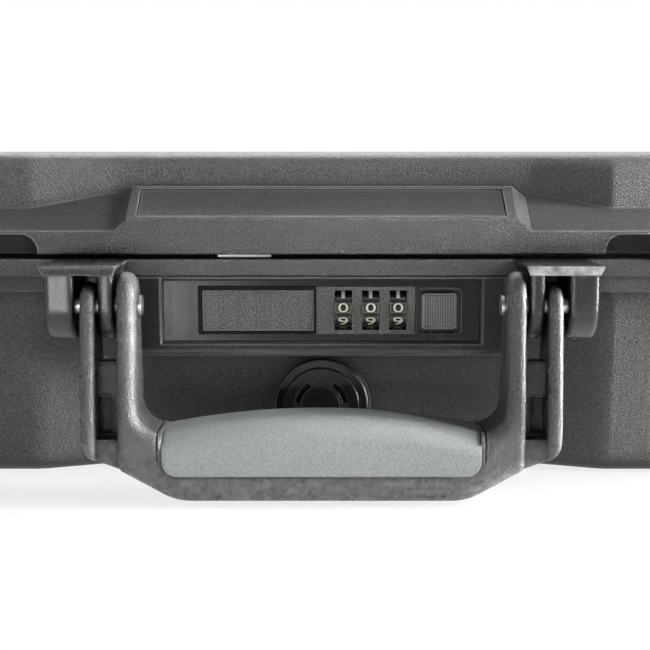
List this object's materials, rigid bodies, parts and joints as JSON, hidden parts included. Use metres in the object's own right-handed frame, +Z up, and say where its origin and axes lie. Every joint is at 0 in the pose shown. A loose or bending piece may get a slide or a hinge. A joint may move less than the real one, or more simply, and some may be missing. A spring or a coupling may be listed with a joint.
{
  "type": "lockable moulded hard case",
  "caption": "Attache-size moulded hard case with hinged lid, folding handle with a soft grip, built-in dial lock with push button, pressure valve and side latches.",
  "frame": {"origin": "middle of the flat underside of the base, on the table", "axes": "+X to the right seen from the handle side, -Y towards the handle and lock, +Z up"},
  "size_m": [0.51, 0.3555, 0.119],
  "materials": {
    "shell_plastic": "fine grained moulding",
    "trim_plastic": "satin moulding",
    "handle_plastic": "satin moulding",
    "latch_plastic": "satin moulding",
    "grip_rubber": "grained overmoulding",
    "lock_gloss": "smooth moulding",
    "blank_plastic": "grained",
    "dial_plastic": "smooth, numbers filled with paint",
    "steel": "plain",
    "cam_brass": "plain",
    "lock_cover_plastic": "satin",
    "valve_plastic": "satin moulding",
    "seal_rubber": "matte",
    "membrane": "thin woven sheet"
  },
  "bodies": {
    "base": {"base_shell": "shell_plastic", "lock_housing": "trim_plastic", "handle_bracket_left": "handle_plastic", "handle_bracket_right": "handle_plastic", "lock_plate": "lock_gloss", "dial_panel": "lock_gloss", "blank_panel": "blank_plastic", "hinge_pin_left": "steel", "hinge_pin_right": "steel", "handle_pin_left": "steel", "handle_pin_right": "steel", "bracket_screws": "steel", "housing_screws": "steel", "cover_screws": "steel", "dial_shaft": "steel", "detent_spring": "steel", "slide_spring": "steel", "lock_cover": "lock_cover_plastic", "valve_body": "valve_plastic", "valve_cap": "valve_plastic", "valve_nut": "valve_plastic", "valve_seal": "seal_rubber", "valve_membrane": "membrane"},
    "lid": {"lid_shell": "shell_plastic", "lid_gasket": "seal_rubber", "lid_name_plate": "trim_plastic", "lid_strike": "steel", "strike_screws": "steel", "latch_pin_left": "steel", "latch_pin_right": "steel"},
    "handle": {"handle_frame": "handle_plastic", "handle_grip": "grip_rubber"},
    "dial_1": {"dial_wheel_1": "dial_plastic", "dial_cam_1": "cam_brass"},
    "dial_2": {"dial_wheel_2": "dial_plastic", "dial_cam_2": "cam_brass"},
    "dial_3": {"dial_wheel_3": "dial_plastic", "dial_cam_3": "cam_brass"},
    "button": {"release_button": "lock_gloss", "release_slide": "steel"},
    "latch_left": {"latch_left": "latch_plastic"},
    "latch_right": {"latch_right": "latch_plastic"}
  },
  "joints": [
    {"name": "lid_hinge", "type": "hinge", "parent": "base", "child": "lid", "pos_m": [0, 0.162, 0.0828], "axis": [-1, 0, 0], "range_deg": [0, 110]},
    {"name": "handle_swing", "type": "hinge", "parent": "base", "child": "handle", "pos_m": [0, -0.1755, 0.068], "axis": [-1, 0, 0], "range_deg": [0, 90]},
    {"name": "dial_1_turn", "type": "hinge", "parent": "base", "child": "dial_1", "pos_m": [0.0078, -0.14735, 0.0635], "axis": [1, 0, 0], "continuous": true},
    {"name": "dial_2_turn", "type": "hinge", "parent": "base", "child": "dial_2", "pos_m": [0.01765, -0.14735, 0.0635], "axis": [1, 0, 0], "continuous": true},
    {"name": "dial_3_turn", "type": "hinge", "parent": "base", "child": "dial_3", "pos_m": [0.0275, -0.14735, 0.0635], "axis": [1, 0, 0], "continuous": true},
    {"name": "button_press", "type": "slide", "parent": "base", "child": "button", "axis": [0, 1, 0], "range_m": [0, 0.0025], "stiffness_N_per_m": 400, "deforming": ["slide_spring"]},
    {"name": "latch_left_swing", "type": "hinge", "parent": "lid", "child": "latch_left", "pos_m": [-0.145, -0.163, 0.088], "axis": [-1, 0, 0], "range_deg": [-18, 110]},
    {"name": "latch_right_swing", "type": "hinge", "parent": "lid", "child": "latch_right", "pos_m": [0.145, -0.163, 0.088], "axis": [-1, 0, 0], "range_deg": [-18, 110]}
  ]
}
